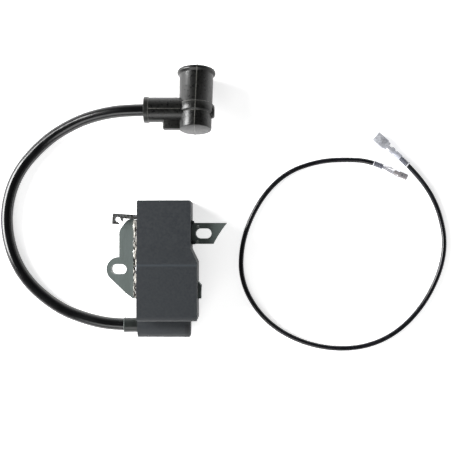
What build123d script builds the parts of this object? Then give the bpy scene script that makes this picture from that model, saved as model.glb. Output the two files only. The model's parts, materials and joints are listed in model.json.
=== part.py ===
from build123d import *
import os
from math import cos, pi, radians, sin, tan

# Ignition coil of a small two-stroke engine, with its plug lead and boot and its loose stop lead.
# Millimetres. The module lies on its open, potted back at Z = 0 with its front face up. +X runs
# from the high-tension tower to the head of the case and -Y points to the flywheel. The origin
# is under the middle of the module.

# ---------------------------------------------------------------- driving sizes: clearances
slip = 0.05          # radial gap of a piece that is pushed into another
core_gap = 0.15      # gap between the core and the openings it slides through

# Case: a shallow box open at the back, with a deeper part over the windings
wall = 1.8
foot_x = -28.5       # outer face at the tower end
head_x = 38.4        # outer face at the electronics end
yoke_side_y = 15.9   # outer face towards the yoke
coil_side_y = -17.5  # outer face towards the flywheel, over the windings
head_side_y = -13.9  # the same over the electronics, set back by the slant
slant_foot_x = 4.0
slant_head_x = 11.5
coil_front_z = 32.5
head_front_z = 29.0
ramp_foot_x = 3.4
ramp_head_x = 11.9
foot_round = 3.0     # round of the front edge at the foot
head_round = 2.6     # round of the front edge at the head
corner_round = 0.8   # round of the upright corners
potting_recess = 1.0

# Bead of resin between the yoke and the case
bead_end = 0.5       # it stops this far short of the yoke's ends
bead_sink = 1.0      # it starts this far above the core's back
bead_rise = 0.8      # and stands this far above the core's front
bead_gap = [(3.6, 16.5), (0.6, 18.1), (-4.8, 16.9)]   # corners of the gap left in it

# High-tension tower, along Y beside the foot of the case
tower_d = 13.9
tower_x = foot_x - 3.7
tower_z = 8.0
tower_yoke_y = 17.0
tower_far_y = -13.2
tower_edge = 0.8

# Core: a C of laminations with its two legs pointing at the flywheel
sheet_count = 10
sheet_pitch = 1.0
varnish = 0.05
core_z = 11.0
coil_leg_x = -11.5
coil_leg_w = 9.8
pole_leg_x = 20.1
pole_leg_w = 11.8
yoke_inner_y = 18.6
yoke_outer_y = 26.5
yoke_head_x = 28.4
ear_x = 0.0
ear_y = 26.8
ear_r = 6.85
ear_slot_y = 26.8
yoke_foot_corner = (3.1, 4.3)    # how far the yoke's corner at the tower end is cut back
yoke_head_corner = (6.6, 5.0)    # the same at the head
yoke_head_round = 5.5            # rounds at both ends of that cut
yoke_foot_round = 3.0
coil_leg_cut = (2.3, 1.7)        # slanted corner at the end of the coil leg
leg_overlap = 0.5                # the legs' rectangles reach this far into the yoke
slot_w = 5.6
slot_l = 8.9
pole_slot_y = -20.8
flywheel_x = -14.8
flywheel_y = -84.0
pole_arc_r = 64.6
leg_blank_y = -40.0  # the legs are cut from stock this long, then ground to the pole arc

# Windings round the coil leg
bobbin_wall = 0.8
bobbin_flange = 17.0
charge_flange = 23.0
primary_size = 15.4
charge_size = 21.6
charge_length = 9.8
secondary_wall = 0.8
secondary_flange = 26.4
secondary_size = 25.2
chamber_count = 5
chamber_flange = 0.7
winding_round = 4.0
capacitor_round = 0.6
bore_round = 0.3
primary_round = 1.5
tube_round = 0.6
flange_round = 1.0
charge_round = 3.0

# Electronics
board_t = 1.2
board_z = 24.0
board_foot_x = 3.0
board_margin = 0.5
tunnel_wall = 1.2
capacitor_size = (7.5, 13.0, 12.0)
capacitor_y = -8.0
thyristor_place = (6.6, 6.0)
thyristor_d = 4.6
thyristor_h = 4.7
thyristor_leg = 0.5
thyristor_leg_l = 2.0
thyristor_leg_pitch = 1.27
diode_place = (8.2, -9.5)
diode_d = 2.6
diode_l = 5.0
diode_pitch = 4.2
diode_leg = 0.7
diode_count = 3
chip_place = (24.0, -2.0)
chip_size = (5.0, 4.0, 1.4)
resistor_places = ((14.0, -8.0), (17.6, -8.0), (14.0, 6.0), (17.6, 6.0))
resistor_size = (3.2, 1.6, 0.6)
strap_t = 0.5
strap_y = (4.5, 7.5)
strap_foot = 2.5     # half of the strap's foot on the core
strap_head = 1.5     # how far its head reaches past the pole leg's middle
strap_window_x = 3.0
strap_window_y = (4.0, 8.0)

# Stop tab, a hooked blade soldered to the board
tab_t = 0.8
tab_x = 29.2
tab_neck_w = 2.5
tab_hook = 6.0
tab_hook_y = 23.9
tab_lean = 3.7       # degrees that the head and the neck outside the case are turned
tab_hole_d = 2.7
tab_hole_shift = 0.2     # the hole sits this far off the head's middle, towards the opening
tab_edge_shift = 1.3     # from the neck's middle to the head's straight edge
tab_mouth = (4.2, 1.9)   # length and width of the slanted cut that opens the hole
tab_inner_y = 10.0

# Plug lead and its grommet
lead_d = 7.0
grommet_d = 8.3
grommet_y = (12.9, 24.8)
grommet_edge = 0.4
pin_d = 1.2
pin_bend = 2.0

# Boot: a hollow elbow, its barrel turned down about the arm until the lip rests on the table
boot_x = 89.9
boot_y = -16.2
boot_tilt = radians(13.0)
boot_lean = radians(0.6)
boot_lip_r = 10.9
boot_lip_t = 2.0
boot_mouth = 23.1    # from the arm's axis to the mouth
boot_tail = 11.9     # from the arm's axis to the closed end
boot_r = 9.7
boot_waist_r = 9.4     # just past the band
boot_tail_r = 9.1
boot_band_r = 10.2
boot_band = (-3.0, 2.2)
boot_step = 0.5          # length of the slopes at the band's ends and under the lip
boot_tail_round = 0.7
boot_boss_d = 7.8        # stub opposite the arm
boot_boss_r = 10.7       # from the barrel's axis to the stub's face
boot_boss_shift = -1.1
boot_bore_d = 11.4
boot_bore_l = 14.8
chamber_d = 9.6      # narrower chamber behind the bore, for the contact spring
boot_floor = 6.5     # the chamber ends this far past the arm's axis
arm_d = 14.2
arm_end_y = 13.1
bead_d = 14.9
bead_l = 2.4
bead_edge = 0.35
gusset_t = 4.6
gusset_y = 2.1
gusset_inset = 0.1
spring_wire = 1.0
spring_r = 3.9
spring_pitch = 1.7
spring_turns = 5
spring_start = -2.0
spike_d = 1.4

# Stop lead and its two ends
wire_d = 2.8
strand_d = 1.5
receptacle_w = 6.4
receptacle_h = 2.3
receptacle_l = 7.7
receptacle_at = 8.0   # from the end of the insulation to the back of the head
receptacle_round = 0.9
receptacle_slit = 1.2
insulation_grip = (-3.2, 0.6)
grip_step_w = 1.6
strand_grip = (1.4, 4.6)
floor_w = 2.0
sheet_t = 0.4
crimp_wall = 0.45
sleeve_wall = 0.35
sleeve_l = 12.0
sleeve_back = 9.2     # how far the sleeve reaches back over the wire
contact_w = 3.2
contact_at = (7.3, 10.3, 15.4)
contact_grip_l = 2.2
contact_neck_w = 1.6
contact_wing_h = 1.4
bare_length = (9.3, 5.0)   # of strands past the insulation, at the contact and at the receptacle
contact_sleeve_d = (3.8, 5.6)
contact_sleeve_at = (-5.6, 16.0)

# Routes: points that the leads' runs join, chosen by hand
boot_z = boot_lip_r * cos(boot_tilt) + boot_mouth * sin(boot_tilt)
lead_route = [
    (tower_x, 8.5, tower_z),
    (tower_x, 25.0, tower_z),
    (-30.4, 42.0, 6.5),
    (-22.0, 65.0, 3.5),
    (-2.0, 86.0, 3.5),
    (25.5, 94.8, 3.5),
    (53.0, 89.5, 3.5),
    (74.0, 72.5, 4.0),
    (84.8, 53.5, 7.5),
    (89.2, 36.0, 12.5),
    (boot_x, 19.5, boot_z),
    (boot_x, 3.5, boot_z),
]
wire_route = [
    (58.6, -123.6, 2.85),
    (61.8, -116.3, 2.85),
    (62.9, -104.0, 1.4),
    (62.2, -87.0, 1.4),
    (55.5, -67.5, 1.4),
    (39.5, -52.0, 1.4),
    (16.0, -41.8, 1.4),
    (-8.5, -41.3, 1.4),
    (-31.0, -55.5, 1.4),
    (-44.6, -79.5, 1.4),
    (-47.5, -107.5, 1.4),
    (-38.8, -131.5, 1.4),
    (-18.5, -150.2, 1.4),
    (9.0, -161.0, 1.4),
    (35.0, -156.7, 1.4),
    (55.1, -143.7, 2.5),
    (66.0, -131.4, 2.5),
]

# ---------------------------------------------------------------- worked-out places
core_t = sheet_count * sheet_pitch - varnish
core_top_z = core_z + core_t
core_mid_z = core_z + core_t / 2
inner_yoke_y = yoke_side_y - wall
inner_coil_y = coil_side_y + wall
inner_head_y = head_side_y + wall
far = 60.0            # longer than any cut through the case
coil_leg = (coil_leg_x - coil_leg_w / 2, coil_leg_x + coil_leg_w / 2)
pole_leg = (pole_leg_x - pole_leg_w / 2, pole_leg_x + pole_leg_w / 2)
board_top_z = board_z + board_t
coil_leg_end_y = flywheel_y + pole_arc_r   # the arc's nearest point to the yoke
front_y = Plane.XZ     # its normal is -Y, so a place at y has the offset -y

os.makedirs("parts", exist_ok=True)


def save(piece, name):
    """Label a finished piece and write it to its own file."""
    piece.label = name
    export_step(piece, f"parts/{name}.step")


def box_between(low, high):
    """A box from its low corner to its high corner, kept out of any builder block."""
    size = [b - a for a, b in zip(low, high)]
    middle = [(a + b) / 2 for a, b in zip(low, high)]
    return Pos(*middle) * Box(*size, mode=Mode.PRIVATE)


def case_block(inset, base_z):
    """The case's outer shape, drawn in by inset on every side but the open back."""
    with BuildPart() as block:
        with BuildSketch(Plane.XY.offset(base_z)):
            with BuildLine():
                Polyline(
                    (foot_x + inset, coil_side_y + inset),
                    (slant_foot_x, coil_side_y + inset),
                    (slant_head_x, head_side_y + inset),
                    (head_x - inset, head_side_y + inset),
                    (head_x - inset, yoke_side_y - inset),
                    (foot_x + inset, yoke_side_y - inset),
                    close=True,
                )
            make_face()
        extrude(amount=coil_front_z - inset - base_z)
        fillet(block.edges().filter_by(Axis.Z), radius=corner_round)
        with BuildSketch(front_y):
            with BuildLine():
                Polyline(
                    (foot_x + inset, base_z),
                    (foot_x + inset, coil_front_z - inset),
                    (ramp_foot_x, coil_front_z - inset),
                    (ramp_head_x, head_front_z - inset),
                    (head_x - inset, head_front_z - inset),
                    (head_x - inset, base_z),
                    close=True,
                )
            profile = make_face()
            corners = profile.vertices().filter_by_position(
                Axis.Y, minimum=head_front_z - inset, maximum=coil_front_z)
            fillet(corners.sort_by(Axis.X)[0], radius=foot_round - inset / 2)
            fillet(corners.sort_by(Axis.X)[-1], radius=head_round - inset / 2)
        extrude(amount=far, both=True, mode=Mode.INTERSECT)
    return block.part


def leg_passage(leg, grow):
    """The space that a leg of the core passes through, grown on every side of its section."""
    low = (leg[0] - grow, coil_side_y - 1.0, core_z - grow)
    high = (leg[1] + grow, yoke_side_y + 1.0, core_top_z + grow)
    return box_between(low, high)


def ring_along_y(outer, inner, start_y, end_y, rounding):
    """A square ring round the coil leg, from start_y down to end_y."""
    with BuildPart() as ring:
        with BuildSketch(front_y.offset(-start_y)):
            with Locations((coil_leg_x, core_mid_z)):
                RectangleRounded(outer[0], outer[1], rounding)
                RectangleRounded(inner[0], inner[1], bore_round, mode=Mode.SUBTRACT)
        extrude(amount=start_y - end_y)
    return ring.part


def corner_radii(route, share=0.45):
    """The largest arc for each corner of a route: a share of the shorter run over tan(half turn)."""
    points = [Vector(*p) for p in route]
    radii = []
    for before, corner, after in zip(points, points[1:], points[2:]):
        arriving = corner - before
        leaving = after - corner
        half_turn = radians(arriving.get_angle(leaving)) / 2
        radii.append(share * min(arriving.length, leaving.length) / tan(half_turn))
    return radii


def cord_tube(name, route, diameter):
    """A plain tube along a route, as straight runs joined by tangent arcs."""
    radii = corner_radii(route)
    with BuildPart() as tube:
        with BuildLine() as path:
            FilletPolyline(*route, radius=radii)
        track = path.wire()
        with BuildSketch(Plane(origin=track @ 0, z_dir=track % 0)):
            Circle(diameter / 2)
        sweep(path=track)
    length = track.length
    ratio = tube.part.volume / (pi * diameter ** 2 / 4 * length)
    print(name, "length", round(length, 1), "volume / section x length", round(ratio, 4))
    print(name, "radii", [round(r, 1) for r in radii], "least", round(min(radii), 1))
    return tube.part


# ---------------------------------------------------------------- case
cavity = case_block(wall, -1.0)
tunnel_space = leg_passage(pole_leg, core_gap)
tunnel_block = leg_passage(pole_leg, core_gap + tunnel_wall)
strap_window = box_between((pole_leg_x - strap_window_x, strap_window_y[0], core_top_z),
                           (pole_leg_x + strap_window_x, strap_window_y[1], board_z))

# The tower stands against the foot on a web as wide as itself.
with BuildPart() as tower:
    with BuildSketch(front_y.offset(-tower_yoke_y)):
        with Locations((tower_x, tower_z)):
            Circle(tower_d / 2)
        with Locations(((tower_x + foot_x) / 2 + 1.0, tower_z)):
            Rectangle(foot_x - tower_x + 2.0, tower_d)
    extrude(amount=tower_yoke_y - tower_far_y)
    chamfer(tower.faces().sort_by(Axis.Y)[0].edges(), length=tower_edge)

with BuildPart() as case:
    add(case_block(0.0, 0.0))
    add(tower.part)
    add(cavity, mode=Mode.SUBTRACT)
    # Channel for the upper leg, closed off from the potting
    add(tunnel_block.intersect(case_block(0.0, 0.0)))
    add(tunnel_space, mode=Mode.SUBTRACT)
    add(leg_passage(coil_leg, core_gap), mode=Mode.SUBTRACT)
    add(strap_window, mode=Mode.SUBTRACT)
    # Slit for the stop tab
    add(box_between((tab_x - tab_neck_w / 2 - slip, inner_yoke_y - 0.5, board_z - tab_t - slip),
                    (tab_x + tab_neck_w / 2 + slip, yoke_side_y + 0.5, board_z + slip)), mode=Mode.SUBTRACT)
    # Bores of the tower: the lead, the grommet round its mouth and the pin behind it
    with BuildSketch(front_y.offset(-tower_yoke_y)):
        with Locations((tower_x, tower_z)):
            Circle(grommet_d / 2 + slip)
    extrude(amount=tower_yoke_y - grommet_y[0], mode=Mode.SUBTRACT)
    with BuildSketch(front_y.offset(-tower_yoke_y)):
        with Locations((tower_x, tower_z)):
            Circle(lead_d / 2 + slip)
    extrude(amount=tower_yoke_y - lead_route[0][1], mode=Mode.SUBTRACT)

# ---------------------------------------------------------------- core
with BuildSketch() as core_outline:
    with BuildLine():
        Polyline(
            (coil_leg[0], yoke_inner_y),
            (coil_leg[0] + yoke_foot_corner[0], yoke_inner_y + yoke_foot_corner[1]),
            (ear_x - ear_r * sin(radians(45)), ear_y + ear_r * cos(radians(45))),
            (ear_x + ear_r, ear_y),
            (ear_x + ear_r, yoke_outer_y),
            (yoke_head_x - yoke_head_corner[0], yoke_outer_y),
            (yoke_head_x, yoke_outer_y - yoke_head_corner[1]),
            (yoke_head_x, yoke_inner_y),
            close=True,
        )
    make_face()
    with Locations((ear_x, ear_y)):
        Circle(ear_r)
    for leg_middle, leg_width in ((coil_leg_x, coil_leg_w), (pole_leg_x, pole_leg_w)):
        with Locations((leg_middle, (yoke_inner_y + leg_overlap + leg_blank_y) / 2)):
            Rectangle(leg_width, yoke_inner_y + leg_overlap - leg_blank_y)
    for corner, rounding in (
        ((yoke_head_x - yoke_head_corner[0], yoke_outer_y), yoke_head_round),
        ((yoke_head_x, yoke_outer_y - yoke_head_corner[1]), yoke_head_round),
        ((coil_leg[0] + yoke_foot_corner[0], yoke_inner_y + yoke_foot_corner[1]), yoke_foot_round),
    ):
        fillet(core_outline.vertices().sort_by_distance(corner)[0], radius=rounding)
    with Locations((flywheel_x, flywheel_y)):
        Circle(pole_arc_r, mode=Mode.SUBTRACT)
    with BuildLine():
        Polyline(
            (coil_leg[1], coil_leg_end_y + coil_leg_cut[1]),
            (coil_leg[1] - coil_leg_cut[0], coil_leg_end_y),
            (coil_leg[1], leg_blank_y),
            close=True,
        )
    make_face(mode=Mode.SUBTRACT)
    with Locations((ear_x, ear_slot_y), (pole_leg_x, pole_slot_y)):
        SlotOverall(slot_l, slot_w, rotation=90, mode=Mode.SUBTRACT)

with BuildPart() as core:
    for sheet in range(sheet_count):
        with BuildSketch(Plane.XY.offset(core_z + sheet * sheet_pitch)):
            add(core_outline.sketch)
        extrude(amount=sheet_pitch - varnish)
save(core.part, "core_laminations")

# ---------------------------------------------------------------- windings
bore = (coil_leg_w + 2 * core_gap, core_t + 2 * core_gap)
tube = (bore[0] + 2 * bobbin_wall, bore[1] + 2 * bobbin_wall)
charge_y = inner_coil_y + bobbin_wall + charge_length
with BuildPart() as primary_bobbin:
    add(ring_along_y(tube, bore, inner_yoke_y, inner_coil_y, tube_round))
    for size, start_y, rounding in ((bobbin_flange, inner_yoke_y, flange_round),
                                    (bobbin_flange, charge_y + bobbin_wall, flange_round),
                                    (charge_flange, inner_coil_y + bobbin_wall, charge_round)):
        add(ring_along_y((size, size), bore, start_y, start_y - bobbin_wall, rounding))
save(primary_bobbin.part, "primary_bobbin")

primary_winding = ring_along_y((primary_size, primary_size), tube, inner_yoke_y - bobbin_wall,
                               charge_y + bobbin_wall, primary_round)
save(primary_winding, "primary_winding")
charge_winding = ring_along_y((charge_size, charge_size), tube, charge_y,
                              inner_coil_y + bobbin_wall, winding_round)
save(charge_winding, "charge_winding")

secondary_bore = bobbin_flange + 2 * slip
secondary_tube = secondary_bore + 2 * secondary_wall
secondary_length = inner_yoke_y - charge_y
chamber_pitch = (secondary_length - chamber_flange) / chamber_count
with BuildPart() as secondary_bobbin:
    add(ring_along_y((secondary_tube, secondary_tube), (secondary_bore, secondary_bore),
                     inner_yoke_y, charge_y, primary_round))
    for flange in range(chamber_count + 1):
        flange_y = inner_yoke_y - flange * chamber_pitch
        add(ring_along_y((secondary_flange, secondary_flange), (secondary_bore, secondary_bore),
                         flange_y, flange_y - chamber_flange, winding_round))
save(secondary_bobbin.part, "secondary_bobbin")

with BuildPart() as secondary_winding:
    for chamber in range(chamber_count):
        chamber_y = inner_yoke_y - chamber * chamber_pitch - chamber_flange
        add(ring_along_y((secondary_size, secondary_size), (secondary_tube, secondary_tube),
                         chamber_y, chamber_y - chamber_pitch + chamber_flange, winding_round))
save(secondary_winding.part, "secondary_winding")

# ---------------------------------------------------------------- electronics
board_low = (board_foot_x, inner_head_y + board_margin, board_z)
board_high = (head_x - wall - board_margin, inner_yoke_y - board_margin, board_top_z)
board = box_between(board_low, board_high)
save(board, "circuit_board")

capacitor_low = (board_high[0] - capacitor_size[0], capacitor_y, board_z - capacitor_size[2])
capacitor_high = (board_high[0], capacitor_y + capacitor_size[1], board_z)
with BuildPart() as capacitor:
    add(box_between(capacitor_low, capacitor_high))
    fillet(capacitor.edges().filter_by(Axis.Z), radius=capacitor_round)
save(capacitor.part, "charge_capacitor")

thyristor_top_z = board_z - thyristor_leg_l
with BuildPart() as thyristor:
    with BuildSketch(Plane.XY.offset(thyristor_top_z)):
        with Locations(thyristor_place):
            Circle(thyristor_d / 2)
        with Locations((thyristor_place[0] + thyristor_d * 0.85, thyristor_place[1])):
            Rectangle(thyristor_d, thyristor_d * 1.2, mode=Mode.SUBTRACT)
    extrude(amount=-thyristor_h)
    with BuildSketch(Plane.XY.offset(thyristor_top_z)):
        with Locations(thyristor_place):
            with GridLocations(thyristor_leg_pitch, thyristor_leg_pitch, 1, 3):
                Rectangle(thyristor_leg, thyristor_leg)
    extrude(amount=thyristor_leg_l)
save(thyristor.part, "thyristor")

# Diodes on their sides, each with a wire out of both ends that turns up to the board
diode_z = board_z - diode_d / 2 - slip
diode_reach = diode_l / 2 + diode_leg
with BuildPart() as diodes:
    for row in range(diode_count):
        y = diode_place[1] + row * diode_pitch
        with BuildSketch(Plane.YZ.offset(diode_place[0] - diode_l / 2)):
            with Locations((y, diode_z)):
                Circle(diode_d / 2)
        extrude(amount=diode_l)
        add(box_between((diode_place[0] - diode_reach, y - diode_leg / 2, diode_z - diode_leg / 2),
                        (diode_place[0] + diode_reach, y + diode_leg / 2, diode_z + diode_leg / 2)))
        for leg_x in (diode_place[0] - diode_reach, diode_place[0] + diode_l / 2):
            add(box_between((leg_x, y - diode_leg / 2, diode_z),
                            (leg_x + diode_leg, y + diode_leg / 2, board_z)))
save(diodes.part, "diodes")


def chip(place, size):
    """A flat part on the board's front, from the place of its low corner."""
    low = (*place, board_top_z)
    return box_between(low, tuple(a + b for a, b in zip(low, size)))


control_chip = chip(chip_place, chip_size)
save(control_chip, "control_chip")
resistors = [chip(place, resistor_size) for place in resistor_places]
save(Compound(children=resistors), "resistors")

# Strap from the board down to the core, as a Z of spring strip
with BuildPart() as earth_strap:
    with BuildSketch(front_y.offset(-strap_y[1])):
        with BuildLine():
            Polyline(
                (pole_leg_x - strap_foot, core_top_z),
                (pole_leg_x + strap_foot, core_top_z),
                (pole_leg_x + strap_foot, core_top_z + strap_t),
                (pole_leg_x - strap_foot + strap_t, core_top_z + strap_t),
                (pole_leg_x - strap_foot + strap_t, board_z - strap_t),
                (pole_leg_x + strap_head, board_z - strap_t),
                (pole_leg_x + strap_head, board_z),
                (pole_leg_x - strap_foot, board_z),
                close=True,
            )
        make_face()
    extrude(amount=strap_y[1] - strap_y[0])
save(earth_strap.part, "earth_strap")

# Stop tab: a neck out of the case and a square head with a hole that is open to one corner
tab_bend = (tab_x, yoke_side_y + tab_neck_w / 2)
tab_reach = tab_hook_y - tab_bend[1]
tab_hook_x = tab_edge_shift - tab_hook / 2
tab_hole = (tab_hook_x - tab_hole_shift, tab_reach + tab_hook / 2 - tab_hole_shift)
tab_mouth_shift = (tab_hook + tab_hole_d) / 4
with BuildPart() as stop_tab:
    with BuildSketch(Plane.XY.offset(board_z - tab_t)):
        with Locations((tab_x, (tab_inner_y + tab_bend[1]) / 2)):
            Rectangle(tab_neck_w, tab_bend[1] - tab_inner_y)
        with Locations(tab_bend):
            Circle(tab_neck_w / 2)
    extrude(amount=tab_t)
    with BuildSketch(Plane((*tab_bend, board_z - tab_t)).rotated((0, 0, -tab_lean))):
        with Locations((0, tab_reach / 2 + tab_hook / 4)):
            Rectangle(tab_neck_w, tab_reach + tab_hook / 2)
        with Locations((tab_hook_x, tab_reach + tab_hook / 2)):
            Rectangle(tab_hook, tab_hook)
        with Locations(tab_hole):
            Circle(tab_hole_d / 2, mode=Mode.SUBTRACT)
        with Locations((tab_hole[0] - tab_mouth_shift, tab_hole[1] - tab_mouth_shift)):
            Rectangle(*tab_mouth, rotation=45, mode=Mode.SUBTRACT)
    extrude(amount=tab_t)
save(stop_tab.part, "stop_tab")

# ---------------------------------------------------------------- high-tension pin and grommet
pin_chamber = 2       # the middle one of the winding's chambers
pin_y = inner_yoke_y - pin_chamber * chamber_pitch - (chamber_pitch + chamber_flange) / 2
winding_face_x = coil_leg_x - secondary_size / 2


def pin_rod(diameter):
    """A bent rod from the lead's end, down the tower and across to the secondary winding."""
    start_y = lead_route[0][1]
    with BuildPart() as rod:
        with BuildLine() as path:
            FilletPolyline((tower_x, start_y, tower_z), (tower_x, pin_y, tower_z),
                           (winding_face_x, pin_y, tower_z), radius=pin_bend)
        track = path.wire()
        with BuildSketch(Plane(origin=track @ 0, z_dir=track % 0)):
            Circle(diameter / 2)
        sweep(path=track)
    return rod.part


save(pin_rod(pin_d), "high_tension_pin")
pin_bore = pin_rod(pin_d + 2 * slip)
save(case.part - pin_bore, "case")

with BuildPart() as grommet:
    with BuildSketch(front_y.offset(-grommet_y[1])):
        with Locations((tower_x, tower_z)):
            Circle(grommet_d / 2)
            Circle(lead_d / 2 + slip, mode=Mode.SUBTRACT)
    extrude(amount=grommet_y[1] - grommet_y[0])
    outer_rim = grommet.edges().filter_by(GeomType.CIRCLE).sort_by(Axis.Y)[-2:].sort_by(SortBy.RADIUS)[-1]
    chamfer(outer_rim, length=grommet_edge)
save(grommet.part, "lead_grommet")

# ---------------------------------------------------------------- potting resin
coil_space = ring_along_y((secondary_flange, secondary_flange), bore, inner_yoke_y, inner_coil_y,
                          winding_round)
thyristor_low = (*(place - thyristor_d / 2 for place in thyristor_place), thyristor_top_z - thyristor_h)
thyristor_high = (*(place + thyristor_d / 2 for place in thyristor_place), board_z)
diode_space = diode_d / 2 + slip
diode_low = (diode_place[0] - diode_reach - slip, diode_place[1] - diode_space, diode_z - diode_space)
last_diode_y = diode_place[1] + (diode_count - 1) * diode_pitch
diode_high = (diode_place[0] + diode_reach + slip, last_diode_y + diode_space, board_z)
tab_low = (tab_x - tab_neck_w / 2, tab_inner_y, board_z - tab_t)
tab_high = (tab_x + tab_neck_w / 2, yoke_side_y, board_z)
embedded = [tunnel_block, coil_space, leg_passage(coil_leg, core_gap), strap_window, board, capacitor.part]
embedded += [control_chip, *resistors, box_between(thyristor_low, thyristor_high)]
embedded += [box_between(diode_low, diode_high), box_between(tab_low, tab_high), pin_bore]
with BuildPart() as resin:
    add(case_block(wall, potting_recess))
    for piece in embedded:
        add(piece, mode=Mode.SUBTRACT)
save(resin.part, "potting_resin")

# Bead of the same resin that fills the gap between the yoke and the case, with one gap left in it
with BuildPart() as bead:
    add(box_between((coil_leg[0] + bead_end, yoke_side_y, core_z + bead_sink),
                    (yoke_head_x - bead_end, yoke_inner_y, core_top_z + bead_rise)))
    for leg in (coil_leg, pole_leg):
        add(leg_passage(leg, slip).moved(Location((0, yoke_inner_y - yoke_side_y, 0))), mode=Mode.SUBTRACT)
    with BuildSketch(Plane.XY.offset(core_z)):
        with BuildLine():
            Polyline(*bead_gap, close=True)
        make_face()
    extrude(amount=core_t + bead_rise, mode=Mode.SUBTRACT)
save(bead.part, "yoke_resin_bead")

# ---------------------------------------------------------------- plug lead
plug_lead = cord_tube("plug_lead", lead_route, lead_d)
save(plug_lead, "plug_lead")

# ---------------------------------------------------------------- boot
elbow = Vector(boot_x, boot_y, boot_z)
mouth = Vector(cos(boot_tilt) * cos(boot_lean), -cos(boot_tilt) * sin(boot_lean), -sin(boot_tilt))
arm = Vector(0, 1, 0)
barrel_plane = Plane(origin=elbow, x_dir=mouth, z_dir=mouth.cross(arm))
barrel_axis = Axis(elbow, mouth)
arm_plane = Plane(origin=elbow, x_dir=(1, 0, 0), z_dir=arm)
arm_length = arm_end_y - boot_y
with BuildPart() as plug_boot:
    with BuildSketch(barrel_plane):
        with BuildLine():
            Polyline(
                (-boot_tail, 0),
                (-boot_tail, boot_tail_r),
                (boot_band[0], boot_tail_r),
                (boot_band[0] + boot_step, boot_band_r),
                (boot_band[1], boot_band_r),
                (boot_band[1] + boot_step, boot_waist_r),
                (boot_mouth - boot_lip_t - boot_step, boot_r),
                (boot_mouth - boot_lip_t, boot_lip_r),
                (boot_mouth, boot_lip_r),
                (boot_mouth, 0),
                close=True,
            )
        make_face()
    revolve(axis=barrel_axis)
    tail_rim = plug_boot.edges().filter_by(GeomType.CIRCLE).sort_by(barrel_axis)[0]
    fillet(tail_rim, radius=boot_tail_round)
    with BuildSketch(Plane(origin=elbow, x_dir=arm, z_dir=(1, 0, 0))):
        with BuildLine():
            Polyline(
                (0, 0),
                (0, arm_d / 2),
                (arm_length - bead_l - bead_edge, arm_d / 2),
                (arm_length - bead_l, bead_d / 2),
                (arm_length - bead_edge, bead_d / 2),
                (arm_length, bead_d / 2 - bead_edge),
                (arm_length, 0),
                close=True,
            )
        make_face()
    revolve(axis=Axis(elbow, arm))
    # Web between the closed end and the arm
    with BuildSketch(barrel_plane.offset(-gusset_t / 2)):
        with Locations((-boot_tail / 2, (gusset_y - boot_y) / 2)):
            Rectangle(boot_tail - 2 * gusset_inset, gusset_y - boot_y)
    extrude(amount=gusset_t)
    # Stub opposite the arm
    with BuildSketch(Plane(origin=elbow + mouth * boot_boss_shift, z_dir=arm * -1)):
        Circle(boot_boss_d / 2)
    extrude(amount=boot_boss_r)
    # Bore for the plug, chamber for its contact, bore for the lead and the passage between them
    for bore_d, depth in ((boot_bore_d, boot_bore_l), (chamber_d, boot_mouth + boot_floor)):
        with BuildSketch(Plane(origin=elbow + mouth * boot_mouth, z_dir=mouth * -1)):
            Circle(bore_d / 2)
        extrude(amount=depth, mode=Mode.SUBTRACT)
    with BuildSketch(arm_plane.offset(lead_route[-1][1] - boot_y)):
        Circle(lead_d / 2 + slip)
    extrude(amount=arm_end_y - lead_route[-1][1] + 1.0, mode=Mode.SUBTRACT)
    with BuildSketch(Plane(origin=(boot_x, arm_end_y, boot_z), z_dir=arm * -1)):
        Circle(lead_d / 2 + bead_edge)
    extrude(amount=bead_edge, taper=45, mode=Mode.SUBTRACT)
    with BuildSketch(arm_plane):
        Circle(spike_d / 2 + slip)
    extrude(amount=lead_route[-1][1] - boot_y, mode=Mode.SUBTRACT)
save(plug_boot.part, "plug_boot")

with BuildPart() as contact_spring:
    with BuildLine():
        turns = Helix(pitch=spring_pitch, height=spring_pitch * spring_turns, radius=spring_r,
                      center=elbow + mouth * spring_start, direction=mouth)
    with BuildSketch(Plane(origin=turns @ 0, z_dir=turns % 0)):
        Circle(spring_wire / 2)
    sweep(path=turns, is_frenet=True)
save(contact_spring.part, "contact_spring")

with BuildPart() as spike:
    with BuildSketch(arm_plane.offset(spring_r + spring_wire / 2 + slip)):
        Circle(spike_d / 2)
    extrude(amount=lead_route[-1][1] - boot_y - spring_r - spring_wire / 2 - 2 * slip)
save(spike.part, "lead_spike")

# ---------------------------------------------------------------- stop lead
stop_wire = cord_tube("stop_lead", wire_route, wire_d)
save(stop_wire, "stop_lead")

wire_points = [Vector(*p) for p in wire_route]
contact_axis = (wire_points[0] - wire_points[1]).normalized()
contact_side = contact_axis.cross(Vector(0, 0, 1))
contact_plane = Plane(origin=wire_points[0], x_dir=contact_side, z_dir=contact_axis)
receptacle_axis = (wire_points[-1] - wire_points[-2]).normalized()
receptacle_side = receptacle_axis.cross(Vector(0, 0, 1))
receptacle_plane = Plane(origin=wire_points[-1], x_dir=receptacle_side, z_dir=receptacle_axis)

with BuildPart() as strands:
    for plane, length in ((contact_plane, bare_length[0]), (receptacle_plane, bare_length[1])):
        with BuildSketch(plane):
            Circle(strand_d / 2)
        extrude(amount=length)
save(strands.part, "wire_strands")

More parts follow.
